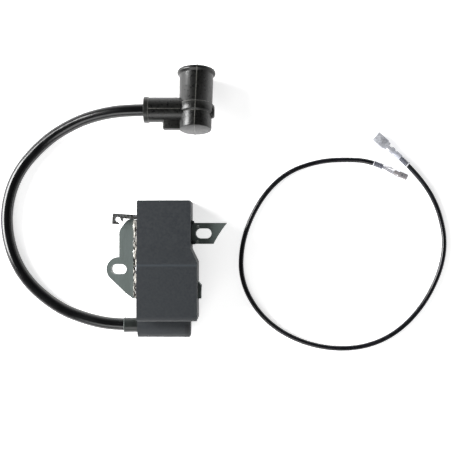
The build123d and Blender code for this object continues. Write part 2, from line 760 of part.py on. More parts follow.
# Blade receptacle: a grip on the insulation, a grip on the strands, a neck and a rolled head
grip_r = wire_d / 2 + slip
core_grip_r = strand_d / 2 + slip
floor_y = core_grip_r + crimp_wall / 2
head_y = receptacle_h / 2 - floor_y - crimp_wall / 2
with BuildPart() as receptacle:
    with BuildSketch(receptacle_plane.offset(insulation_grip[0])):
        Circle(grip_r + crimp_wall)
        Circle(grip_r, mode=Mode.SUBTRACT)
    extrude(amount=insulation_grip[1] - insulation_grip[0])
    with BuildSketch(receptacle_plane.offset(slip)):
        with Locations((0, -(grip_r + crimp_wall / 2 + core_grip_r) / 2)):
            Rectangle(grip_step_w, grip_r + crimp_wall / 2 - core_grip_r)
    extrude(amount=insulation_grip[1] - slip)
    with BuildSketch(receptacle_plane.offset(strand_grip[0])):
        Circle(core_grip_r + crimp_wall)
        Circle(core_grip_r, mode=Mode.SUBTRACT)
    extrude(amount=strand_grip[1] - strand_grip[0])
    with BuildSketch(receptacle_plane.offset(slip)):
        with Locations((0, -floor_y)):
            Rectangle(floor_w, crimp_wall)
    extrude(amount=receptacle_at + crimp_wall)
    with BuildSketch(receptacle_plane.offset(receptacle_at)):
        with Locations((0, head_y)):
            RectangleRounded(receptacle_w, receptacle_h, receptacle_round)
            RectangleRounded(receptacle_w - 2 * sheet_t, receptacle_h - 2 * sheet_t,
                             receptacle_round - sheet_t, mode=Mode.SUBTRACT)
        with Locations((0, head_y + receptacle_h / 2 - sheet_t / 2)):
            Rectangle(receptacle_slit, 2 * sheet_t, mode=Mode.SUBTRACT)
    extrude(amount=receptacle_l)
save(receptacle.part, "receptacle_terminal")

sleeve_bore_r = grip_r + crimp_wall + 2 * slip
with BuildPart() as receptacle_sleeve:
    with BuildSketch(receptacle_plane.offset(-sleeve_back)):
        Circle(sleeve_bore_r + sleeve_wall)
        Circle(sleeve_bore_r, mode=Mode.SUBTRACT)
    extrude(amount=sleeve_l)
save(receptacle_sleeve.part, "receptacle_sleeve")

wing_x = (contact_w - sheet_t) / 2
wing_y = (contact_wing_h - crimp_wall) / 2 - floor_y
with BuildPart() as contact:
    with BuildSketch(contact_plane.offset(contact_at[0])):
        Circle(core_grip_r + crimp_wall)
        Circle(core_grip_r, mode=Mode.SUBTRACT)
    extrude(amount=contact_grip_l)
    with BuildSketch(contact_plane.offset(contact_at[0])):
        with Locations((0, -floor_y)):
            Rectangle(contact_neck_w, crimp_wall)
    extrude(amount=contact_at[1] - contact_at[0] + crimp_wall)
    with BuildSketch(contact_plane.offset(contact_at[1])):
        with Locations((0, -floor_y)):
            Rectangle(contact_w, crimp_wall)
        with Locations((-wing_x, wing_y), (wing_x, wing_y)):
            Rectangle(sheet_t, contact_wing_h)
    extrude(amount=contact_at[2] - contact_at[1])
save(contact.part, "contact_terminal")

with BuildPart() as contact_sleeve:
    start, end = contact_sleeve_at
    for grow, mode in ((0.0, Mode.ADD), (sleeve_wall, Mode.SUBTRACT)):
        with BuildSketch(contact_plane.offset(start)):
            Circle(contact_sleeve_d[0] / 2 - grow)
        with BuildSketch(contact_plane.offset(end)):
            Circle(contact_sleeve_d[1] / 2 - grow)
        loft(mode=mode)
save(contact_sleeve.part, "contact_sleeve")
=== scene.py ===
"""Looks of an ignition coil for a small two-stroke engine: module, plug lead with boot, stop lead."""

import json
import logging
import math
from collections.abc import Sequence
from dataclasses import dataclass
from enum import Enum

import bpy
from mathutils import Matrix, Vector


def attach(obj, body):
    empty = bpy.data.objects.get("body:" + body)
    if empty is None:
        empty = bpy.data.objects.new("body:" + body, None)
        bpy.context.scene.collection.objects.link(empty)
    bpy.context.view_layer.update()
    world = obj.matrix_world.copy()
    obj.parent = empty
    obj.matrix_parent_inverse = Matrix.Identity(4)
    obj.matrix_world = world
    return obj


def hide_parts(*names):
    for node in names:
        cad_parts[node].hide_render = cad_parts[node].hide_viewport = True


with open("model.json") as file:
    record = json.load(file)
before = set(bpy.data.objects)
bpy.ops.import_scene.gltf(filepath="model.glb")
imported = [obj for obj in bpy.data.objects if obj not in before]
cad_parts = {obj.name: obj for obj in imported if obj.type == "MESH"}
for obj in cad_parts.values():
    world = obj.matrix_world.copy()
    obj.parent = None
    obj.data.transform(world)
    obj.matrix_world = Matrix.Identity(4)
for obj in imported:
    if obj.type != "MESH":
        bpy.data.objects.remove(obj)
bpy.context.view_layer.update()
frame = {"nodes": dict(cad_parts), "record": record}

MM = 0.001
UP = Vector((0.0, 0.0, 1.0))
SIDEWAYS = Vector((0.0, 1.0, 0.0))
# Swaps Y and Z, so that a slab's outline runs out along the wire.
LAID_FLAT = Matrix(((1, 0, 0, 0), (0, 0, 1, 0), (0, 1, 0, 0), (0, 0, 0, 1)))
log = logging.getLogger("ignition_coil")


# ------------------------------------------------------------------ finishes


def linear(colour: str) -> tuple[float, float, float, float]:
    """Turns an sRGB hex colour into linear light.

    Args:
        colour: the colour as "#rrggbb".

    Returns:
        Red, green, blue and an alpha of one.
    """
    channels = [int(colour[i:i + 2], 16) / 255 for i in (1, 3, 5)]
    return (*[c / 12.92 if c <= 0.04045 else ((c + 0.055) / 1.055) ** 2.4 for c in channels], 1.0)


def add_node(tree: bpy.types.NodeTree, kind: str, values: dict | None = None,
             links: dict | None = None, **settings: object) -> bpy.types.Node:
    """Adds one node with its settings, its values and its links.

    Args:
        tree: the node tree of the material.
        kind: the node's type.
        values: a value for each input, by name or number.
        links: for each input, the node and the number or name of its output.
        settings: the node's own settings.

    Returns:
        The new node.
    """
    node = tree.nodes.new(kind)
    for name, value in settings.items():
        setattr(node, name, value)
    for socket, value in (values or {}).items():
        node.inputs[socket].default_value = value
    for socket, (source, output) in (links or {}).items():
        tree.links.new(source.outputs[output], node.inputs[socket])
    return node


class Making(Enum):
    """How a surface was made, as the stretch of its pattern along X, Y and Z."""

    MOULDED = (1.0, 1.0, 1.0)
    ROLLED = (0.25, 1.0, 1.0)
    WOUND = (1.0, 0.06, 1.0)
    POURED = (0.45, 1.6, 0.45)


@dataclass(frozen=True)
class Finish:
    """A material with cloudy colour, a grain and an uneven gloss, all in Object coordinates."""

    name: str
    base: str
    tint: str
    patch_mm: float = 8.0
    patch_edge: tuple[float, float] = (0.35, 0.65)
    rough: tuple[float, float] = (0.4, 0.5)
    grain_mm: float = 0.4
    grain_depth_mm: float = 0.02
    metallic: float = 0.0
    ior: float = 1.5
    coat: float = 0.0
    glow: float = 0.0
    alpha: float = 1.0
    making: Making = Making.MOULDED

    def material(self) -> bpy.types.Material:
        """Builds the material once and returns it each time."""
        made = bpy.data.materials.get(self.name)
        if made:
            return made
        made = bpy.data.materials.new(self.name)
        made.use_nodes = True
        tree = made.node_tree
        shader = tree.nodes["Principled BSDF"]
        shader.inputs["Metallic"].default_value = self.metallic
        shader.inputs["IOR"].default_value = self.ior
        shader.inputs["Coat Weight"].default_value = self.coat
        shader.inputs["Emission Color"].default_value = (1.0, 1.0, 1.0, 1.0)
        shader.inputs["Emission Strength"].default_value = self.glow
        shader.inputs["Alpha"].default_value = self.alpha
        place = add_node(tree, "ShaderNodeTexCoord")
        spread = add_node(tree, "ShaderNodeMapping", {"Scale": self.making.value},
                          {"Vector": (place, "Object")})
        clouds = add_node(tree, "ShaderNodeTexNoise",
                          {"Scale": 1 / (self.patch_mm * MM), "Detail": 5.0, "Roughness": 0.6},
                          {"Vector": (spread, 0)})
        ramp = add_node(tree, "ShaderNodeValToRGB", links={0: (clouds, 0)})
        for stop, at, colour in zip(ramp.color_ramp.elements, self.patch_edge, (self.base, self.tint)):
            stop.position = at
            stop.color = linear(colour)
        grain = add_node(tree, "ShaderNodeTexNoise",
                         {"Scale": 1 / (self.grain_mm * MM), "Detail": 3.0, "Roughness": 0.55},
                         {"Vector": (spread, 0)})
        gloss = add_node(tree, "ShaderNodeMapRange",
                         {1: 0.35, 2: 0.65, 3: self.rough[0], 4: self.rough[1]}, {0: (clouds, 0)})
        bump = add_node(tree, "ShaderNodeBump", {"Strength": 1.0, "Distance": self.grain_depth_mm * MM},
                        {"Height": (grain, 0)})
        tree.links.new(ramp.outputs[0], shader.inputs["Base Color"])
        tree.links.new(gloss.outputs[0], shader.inputs["Roughness"])
        tree.links.new(bump.outputs[0], shader.inputs["Normal"])
        return made


@dataclass(frozen=True)
class CaseFinish(Finish):
    """The case's plastic, painted paler in a band beside the crease where the ramp starts: a painted
    highlight on the rounded crease.
    """

    crease_x_mm: float = 2.5
    crease_half_mm: float = 1.0
    front_mm: tuple[float, float] = (31.0, 32.0)
    painted_highlight: str = "#2f363c"
    painted_highlight_share: float = 0.8

    def material(self) -> bpy.types.Material:
        """Builds the case's material once and returns it each time."""
        made = bpy.data.materials.get(self.name)
        if made:
            return made
        made = super().material()
        tree = made.node_tree
        shader = tree.nodes["Principled BSDF"]
        plain = shader.inputs["Base Color"].links[0].from_socket
        place = add_node(tree, "ShaderNodeTexCoord")
        split = add_node(tree, "ShaderNodeSeparateXYZ", links={0: (place, "Object")})
        away = add_node(tree, "ShaderNodeMath", {1: self.crease_x_mm * MM}, {0: (split, "X")},
                        operation="SUBTRACT")
        apart = add_node(tree, "ShaderNodeMath", links={0: (away, 0)}, operation="ABSOLUTE")
        band = add_node(tree, "ShaderNodeMapRange", {1: 0.0, 2: self.crease_half_mm * MM, 3: 1.0, 4: 0.0},
                        {0: (apart, 0)})
        front = add_node(tree, "ShaderNodeMapRange",
                         {1: self.front_mm[0] * MM, 2: self.front_mm[1] * MM, 3: 0.0, 4: self.painted_highlight_share},
                         {0: (split, "Z")})
        share = add_node(tree, "ShaderNodeMath", links={0: (band, 0), 1: (front, 0)}, operation="MULTIPLY")
        # Painted highlight: the paler colour laid in a band along the crease on the front face.
        colour = add_node(tree, "ShaderNodeMix", {7: linear(self.painted_highlight)}, {0: (share, 0)}, data_type="RGBA")
        tree.links.new(plain, colour.inputs[6])
        tree.links.new(colour.outputs[2], shader.inputs["Base Color"])
        return made


# Glass-filled PBT, moulded against a spark-eroded tool: dull, faintly cloudy, a fine pebble; paler along the
# ramp's crease as a painted highlight.
CASE_PBT = CaseFinish("glass_filled_pbt_moulded", "#151a20", "#23272a", 1.3, rough=(0.55, 0.68),
                      grain_mm=0.45, grain_depth_mm=0.03)
# The same plastic, darker on the band at the tower's end: painted shade of the stepped end.
TOWER_PBT = Finish("glass_filled_pbt_end_painted_shade", "#14171b", "#1a1d21", 6, rough=(0.6, 0.7), grain_depth_mm=0.01)
# Silicon steel sheet, stamped and heat-treated: grey-green oxide, dull and mottled.
CORE_STEEL = Finish("silicon_steel_stamped", "#757e7c", "#5f6764", 5, rough=(0.38, 0.55), grain_mm=0.8,
                    grain_depth_mm=0.02, metallic=0.55, making=Making.ROLLED)
# The pressed-in interlocks are real dimples; their bright pale colour is a painted highlight of the glints on
# their rims.
PRESSED_STEEL = Finish("silicon_steel_painted_highlight", "#c6cbc8", "#7d8380", 0.8, rough=(0.25, 0.35),
                       metallic=0.5)
# Epoxy potting, poured and cured in the open back: black, level and glossy.
POTTING_EPOXY = Finish("epoxy_potting_cured", "#1d1f21", "#26282a", 12, rough=(0.12, 0.2), grain_mm=4,
                       grain_depth_mm=0.06)
# The same resin squeezed out beside the yoke: lumpy, wet-looking, with pale patches in its streaks painted as
# highlights and glints.
BEAD_EPOXY = Finish("epoxy_bead_squeezed_out", "#1d1b19", "#dcd8cf", 1.5, (0.44, 0.58), (0.05, 0.2),
                    grain_mm=0.9, grain_depth_mm=0.35, coat=0.6, making=Making.POURED)
# A skin of the same resin that crept out round the pole leg: dark and wet-looking.
CREEP_EPOXY = Finish("epoxy_creep_thin", "#1b1d1e", "#3a3e3f", 2, rough=(0.08, 0.2), grain_mm=1.2,
                     grain_depth_mm=0.2, coat=0.4)
# Natural PBT bobbins: pale, slightly waxy.
BOBBIN_PBT = Finish("pbt_bobbin_natural", "#cfc6ad", "#c2b899", 5, rough=(0.4, 0.5))
# Enamelled copper wire, layer wound: fine turns 0.12 mm apart, drawn coarser so that they show.
MAGNET_WIRE = Finish("enamelled_copper_wound", "#a2552b", "#7f3d1d", 1.2, rough=(0.2, 0.3), grain_mm=0.5,
                     grain_depth_mm=0.12, metallic=0.8, making=Making.WOUND)
# Glass-epoxy laminate with green mask.
BOARD_LAMINATE = Finish("glass_epoxy_laminate", "#1f5a37", "#184a2c", 3, rough=(0.3, 0.4))
# Dip-coated film capacitor: thick, orange-brown, glossy.
CAPACITOR_DIP = Finish("epoxy_dipped_capacitor", "#9c5a24", "#86491b", 4, rough=(0.2, 0.3), grain_mm=2,
                       grain_depth_mm=0.08)
# Transfer-moulded epoxy packages: dull black; also laid as painted shade in the small contact's window.
PACKAGE_EPOXY = Finish("epoxy_package_moulded", "#1b1b1d", "#242426", 1.5, rough=(0.5, 0.6), grain_mm=0.15)
# Hot-tinned steel blade: bright, with dark flux stains.
TINNED_STEEL = Finish("hot_tinned_steel", "#989a9a", "#35342f", 1.3, (0.44, 0.6), (0.22, 0.5), grain_mm=0.5,
                      grain_depth_mm=0.03, metallic=0.85)
# Turned brass pins.
PIN_BRASS = Finish("brass_turned", "#b99a55", "#a88947", 2, rough=(0.25, 0.35), metallic=1.0)
# Flexible nylon grommet: dark green-grey, satin.
GROMMET_NYLON = Finish("nylon_grommet_moulded", "#141817", "#1c201e", 4, rough=(0.3, 0.4), grain_mm=0.3)
# The grommet's rolled lip is painted paler as a highlight on its rounded end.
GROMMET_LIP = Finish("nylon_grommet_lip", "#4a504e", "#363b39", 2, rough=(0.25, 0.35))
# Extruded lead jacket: black and glossy, faint waves along it.
LEAD_JACKET = Finish("extruded_lead_jacket", "#050506", "#08090a", 10, rough=(0.16, 0.24), grain_mm=1.5,
                     grain_depth_mm=0.03, ior=1.52)
# EPDM boot, compression moulded: black, satin, with bloom in patches and a rippled skin.
BOOT_EPDM = Finish("epdm_rubber_moulded", "#050606", "#141412", 1.3, rough=(0.26, 0.4), grain_mm=0.8,
                   grain_depth_mm=0.035, ior=1.5)
# Thin flash of the same rubber where the two halves of the mould met, painted grey as a highlight along it;
# the grey rings at the band's edges and on the arm's bead are painted highlights.
EPDM_FLASH_HIGHLIGHT = Finish("epdm_rubber_flash_painted_highlight", "#575753", "#363633", 1.5, rough=(0.3, 0.42), grain_mm=0.5)
# Music-wire spring.
SPRING_STEEL = Finish("music_wire_coiled", "#8b8d8f", "#737577", 2, rough=(0.25, 0.35), metallic=1.0)
# Soft PVC jacket of the stop lead: blue-black and glossy.
WIRE_PVC = Finish("pvc_wire_jacket", "#06070a", "#0a0a12", 8, rough=(0.22, 0.32), grain_mm=1.2,
                  grain_depth_mm=0.02)
# Tinned copper strands.
STRAND_COPPER = Finish("tinned_copper_strands", "#8f8d88", "#6d6962", 1, rough=(0.25, 0.4), metallic=0.7)
# Tin-plated brass terminals, stamped and rolled.
TERMINAL_TIN = Finish("tin_plated_brass", "#d6d8dd", "#a3a5ad", 0.9, rough=(0.3, 0.45), grain_mm=0.3,
                      grain_depth_mm=0.05, metallic=0.35)
# The small contact has lost tin and shows brown brass.
CONTACT_WORN = Finish("tin_plated_brass_worn", "#a39a90", "#5d534a", 0.7, rough=(0.25, 0.45),
                      grain_depth_mm=0.05, metallic=0.5)
# Soft clear PVC tube: nearly unseen over white, milky blue over the black wire.
CLEAR_PVC = Finish("clear_pvc_tube", "#e4e7f4", "#d2d6ec", 4, rough=(0.06, 0.14), grain_mm=1.5,
                   grain_depth_mm=0.03, alpha=0.08)
# Its cut end scatters light and looks white.
CUT_PVC = Finish("clear_pvc_cut_end", "#f4f4f6", "#e8e8ee", 1, rough=(0.4, 0.5))
# Plain white card under everything, lit a little from behind.
WHITE_CARD = Finish("matt_white_card", "#fbfbfb", "#f8f8f8", 200, rough=(0.85, 0.9), grain_mm=1, glow=0.65)


# ------------------------------------------------------------------ tools of the bench


def pick(piece: bpy.types.Object) -> None:
    """Selects one piece alone and makes it active."""
    bpy.ops.object.select_all(action="DESELECT")
    piece.select_set(True)
    bpy.context.view_layer.objects.active = piece


def start(name: str) -> bpy.types.Object:
    """Names the primitive that was just added and returns it."""
    piece = bpy.context.object
    piece.name = name
    piece.data.name = name
    return piece


def settle(piece: bpy.types.Object, place: Matrix) -> bpy.types.Object:
    """Moves a piece to its place and puts that place into its mesh.

    Args:
        piece: the finished piece, made round its own origin.
        place: where it goes in the frame.

    Returns:
        The same piece, its object at the origin.
    """
    piece.matrix_world = place
    pick(piece)
    bpy.ops.object.transform_apply(location=True, rotation=True, scale=True)
    return piece


def apply_modifier(piece: bpy.types.Object, kind: str, **settings: object) -> None:
    """Adds a modifier with its settings and applies it."""
    pick(piece)
    modifier = piece.modifiers.new(kind.title(), kind)
    for name, value in settings.items():
        setattr(modifier, name, value)
    bpy.ops.object.modifier_apply(modifier=modifier.name)


def smooth(piece: bpy.types.Object, degrees: float = 32.0) -> None:
    """Shades a piece smooth, apart from edges sharper than an angle."""
    pick(piece)
    bpy.ops.object.shade_smooth_by_angle(angle=math.radians(degrees))


def combine(piece: bpy.types.Object, tool: bpy.types.Object, operation: str = "UNION") -> None:
    """Joins a second solid to a piece, or cuts it out, and removes it."""
    apply_modifier(piece, "BOOLEAN", operation=operation, object=tool, solver="EXACT")
    bpy.data.objects.remove(tool)


def gathered(name: str, parts: Sequence[bpy.types.Object]) -> bpy.types.Object:
    """Joins parts of one piece into one mesh.

    Args:
        name: the name of the whole piece.
        parts: its parts; the first one stays.

    Returns:
        The joined piece.
    """
    pick(parts[0])
    for part in parts:
        part.select_set(True)
    bpy.ops.object.join()
    return start(name)


def along(origin: Vector, axis: Vector, side: Vector) -> Matrix:
    """Gives a place whose Z runs along an axis.

    Args:
        origin: the place's origin, in metres.
        axis: the direction of its Z.
        side: the direction nearest to its X.

    Returns:
        The place as a matrix.
    """
    z = axis.normalized()
    x = (side - z * side.dot(z)).normalized()
    place = Matrix((x, z.cross(x), z)).transposed().to_4x4()
    place.translation = origin
    return place


def chain(name: str, points: Sequence[tuple[float, float, float]]) -> bpy.types.Object:
    """Draws a line of edges by extruding one vertex, and leaves it selected in edit mode.

    Args:
        name: the piece's name.
        points: the line's points in mm.

    Returns:
        The piece, in edit mode.
    """
    bpy.ops.object.select_all(action="DESELECT")
    bpy.ops.mesh.primitive_circle_add(vertices=3, radius=MM)
    piece = start(name)
    bpy.ops.object.mode_set(mode="EDIT")
    bpy.ops.mesh.select_mode(type="VERT")
    bpy.ops.mesh.select_all(action="SELECT")
    bpy.ops.mesh.merge(type="CENTER")
    now = Vector(points[0]) * MM
    bpy.ops.transform.translate(value=now)
    for point in points[1:]:
        goal = Vector(point) * MM
        bpy.ops.mesh.extrude_vertices_move(TRANSFORM_OT_translate={"value": goal - now})
        now = goal
    bpy.ops.mesh.select_all(action="SELECT")
    return piece


def turned(name: str, profile: Sequence[tuple[float, float]], place: Matrix,
           steps: int = 72) -> bpy.types.Object:
    """Turns a solid by spinning its profile about the Z of its place.

    Args:
        name: the piece's name.
        profile: radius and height of each corner, in mm, from the axis back to the axis or closed.
        place: the axis.
        steps: faces round it.

    Returns:
        The closed solid in its place.
    """
    piece = chain(name, [(radius, 0.0, height) for radius, height in profile])
    bpy.ops.mesh.spin(steps=steps, angle=math.tau, center=(0, 0, 0), axis=(0, 0, 1))
    bpy.ops.mesh.select_all(action="SELECT")
    bpy.ops.mesh.remove_doubles(threshold=2e-6)
    bpy.ops.mesh.normals_make_consistent(inside=False)
    bpy.ops.object.mode_set(mode="OBJECT")
    settle(piece, place)
    smooth(piece)
    return piece


def slab(name: str, outline: Sequence[tuple[float, float]], low: float, high: float, place: Matrix,
         edge: float) -> bpy.types.Object:
    """Cuts a slab with rounded edges out of sheet.

    Args:
        name: the piece's name.
        outline: its corners in X and Y of the place, in mm.
        low: the height of its underside.
        high: the height of its top.
        place: where its outline lies.
        edge: the width of the edges' round, in mm.

    Returns:
        The slab in its place.
    """
    piece = chain(name, [(x, y, low) for x, y in outline])
    bpy.ops.mesh.edge_face_add()
    bpy.ops.mesh.extrude_region_move(TRANSFORM_OT_translate={"value": (0, 0, (high - low) * MM)})
    bpy.ops.mesh.select_all(action="SELECT")
    bpy.ops.mesh.normals_make_consistent(inside=False)
    bpy.ops.mesh.bevel(offset=edge * MM, segments=2, affect="EDGES")
    bpy.ops.object.mode_set(mode="OBJECT")
    settle(piece, place)
    smooth(piece)
    return piece


def rolled(name: str, line: Sequence[tuple[float, float]], low: float, high: float, thick: float,
           place: Matrix) -> bpy.types.Object:
    """Rolls a strip of sheet into a section that is open, as a terminal's.

    Args:
        name: the piece's name.
        line: the middle of the sheet in X and Y of the place, in mm.
        low: where the strip starts along Z.
        high: where it ends.
        thick: the sheet's thickness.
        place: the section's place.

    Returns:
        The rolled strip.
    """
    piece = chain(name, [(x, y, low) for x, y in line])
    bpy.ops.mesh.extrude_region_move(TRANSFORM_OT_translate={"value": (0, 0, (high - low) * MM)})
    bpy.ops.mesh.select_all(action="SELECT")
    bpy.ops.mesh.normals_make_consistent(inside=False)
    bpy.ops.object.mode_set(mode="OBJECT")
    apply_modifier(piece, "SOLIDIFY", thickness=thick * MM, offset=0.0)
    apply_modifier(piece, "BEVEL", width=0.06 * MM, segments=2, limit_method="ANGLE")
    settle(piece, place)
    smooth(piece, 50)
    return piece


def softened(node: str, name: str, edge: float, degrees: float = 35.0) -> bpy.types.Object:
    """Copies a node of the frame and rounds its sharp edges.

    Args:
        node: the node's name.
        name: the name of the copy.
        edge: the width of the round, in mm.
        degrees: edges sharper than this are rounded.

    Returns:
        The copy, which stands for the node.
    """
    piece = bpy.data.objects.new(name, frame["nodes"][node].data.copy())
    bpy.context.scene.collection.objects.link(piece)
    pick(piece)
    bpy.ops.object.mode_set(mode="EDIT")
    bpy.ops.mesh.select_all(action="SELECT")
    bpy.ops.mesh.remove_doubles(threshold=1e-6)
    bpy.ops.mesh.dissolve_limited(angle_limit=math.radians(1.0))
    bpy.ops.object.mode_set(mode="OBJECT")
    apply_modifier(piece, "BEVEL", width=edge * MM, segments=2, limit_method="ANGLE",
                   angle_limit=math.radians(degrees), use_clamp_overlap=True)
    smooth(piece)
    apply_modifier(piece, "WEIGHTED_NORMAL", keep_sharp=True, weight=100)
    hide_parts(node)
    return piece


def body_of(node: str) -> str:
    """Gives the body that a node of the frame rides on."""
    groups = frame["record"]["behaviour"]["bodies"]
    return next(body for body, members in groups.items() if node in members)


def dress(piece: bpy.types.Object, finish: Finish, body: str) -> bpy.types.Object:
    """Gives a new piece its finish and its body.

    Args:
        piece: the piece in its place.
        finish: what it is made of.
        body: the body that it moves with.

    Returns:
        The same piece.
    """
    piece.data.materials.clear()
    piece.data.materials.append(finish.material())
    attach(piece, body)
    log.info("%s in %s rides on %s", piece.name, finish.name, body)
    return piece


def paint(node: str, finish: Finish) -> None:
    """Gives a node of the frame its finish; the node keeps its shape."""
    piece = frame["nodes"][node]
    if not piece.material_slots:
        piece.data.materials.append(finish.material())
    for place in piece.material_slots:
        place.material = finish.material()
    log.info("%s keeps its shape, in %s", node, finish.name)


def laid_cord(name: str, route: Sequence[tuple[float, float, float]], diameter: float) -> bpy.types.Object:
    """Lays a cord as one smooth spline with the route's points as its control points.

    Args:
        name: the cord's name.
        route: its points in mm.
        diameter: its diameter in mm.

    Returns:
        The curve.
    """
    data = bpy.data.curves.new(name, "CURVE")
    data.dimensions = "3D"
    spline = data.splines.new("NURBS")
    spline.points.add(len(route) - 1)
    for point, place in zip(spline.points, route):
        point.co = (*(Vector(place) * MM), 1.0)
    spline.order_u = 3
    spline.use_endpoint_u = True
    data.resolution_u = 24
    data.bevel_depth = diameter * MM / 2
    data.bevel_resolution = 8
    data.use_fill_caps = True
    cord = bpy.data.objects.new(name, data)
    bpy.context.scene.collection.objects.link(cord)
    return cord


# ------------------------------------------------------------------ studio


@dataclass
class Studio:
    """White card, camera straight above and soft boxes."""

    camera_at: tuple[float, float, float] = (0.0192, -0.0384, 0.606)
    lens_mm: float = 80.0
    aim_at: tuple[float, float, float] = (0.02, -0.03, 0.0)
    sky_strength: float = 0.8
    card: float = 3.0
    card_drop: float = 0.00005

    def place_camera(self) -> None:
        """Puts the camera above the card, its top towards +X."""
        data = bpy.data.cameras.new("camera")
        data.lens = self.lens_mm
        data.sensor_width = 36.0
        camera = bpy.data.objects.new("camera", data)
        camera.location = self.camera_at
        camera.rotation_euler = (0.0, 0.0, -math.pi / 2)
        bpy.context.scene.collection.objects.link(camera)
        bpy.context.scene.camera = camera

    def soft_box(self, name: str, at: tuple[float, float, float], size: tuple[float, float],
                 power: float) -> None:
        """Hangs a soft box that faces the middle of the card.

        Args:
            name: the light's name.
            at: where it hangs, in metres.
            size: its width and height.
            power: its power in watts.
        """
        data = bpy.data.lights.new(name, "AREA")
        data.shape = "RECTANGLE"
        data.size, data.size_y = size
        data.energy = power
        light = bpy.data.objects.new(name, data)
        light.location = at
        aim = Vector(self.aim_at) - Vector(at)
        light.rotation_euler = aim.to_track_quat("-Z", "Y").to_euler()
        bpy.context.scene.collection.objects.link(light)

    def build(self) -> None:
        """Lays the card and lights it."""
        bpy.context.scene.view_settings.view_transform = "Standard"
        world = bpy.data.worlds.new("studio")
        bpy.context.scene.world = world
        world.use_nodes = True
        tree = world.node_tree
        sky = tree.nodes["Background"]
        sky.inputs[1].default_value = self.sky_strength
        place = add_node(tree, "ShaderNodeTexCoord")
        split = add_node(tree, "ShaderNodeSeparateXYZ", links={0: (place, "Generated")})
        walls = add_node(tree, "ShaderNodeValToRGB", links={0: (split, "Z")})
        for stop, at, grey in zip(walls.color_ramp.elements, (0.22, 0.62), (1.0, 0.07)):
            stop.position = at
            stop.color = (grey, grey, grey, 1.0)
        tree.links.new(walls.outputs[0], sky.inputs[0])
        self.soft_box("soft_box_yoke_side", (0.14, 0.74, 0.38), (0.7, 0.42), 20.0)
        self.soft_box("soft_box_tower_side", (-0.6, 0.15, 0.5), (0.6, 0.40), 2.5)
        bpy.ops.mesh.primitive_grid_add(x_subdivisions=8, y_subdivisions=8, size=self.card,
                                        location=(0, 0, -self.card_drop))
        card = start("white_card")
        settle(card, card.matrix_world.copy())
        card.data.materials.append(WHITE_CARD.material())


# ------------------------------------------------------------------ module


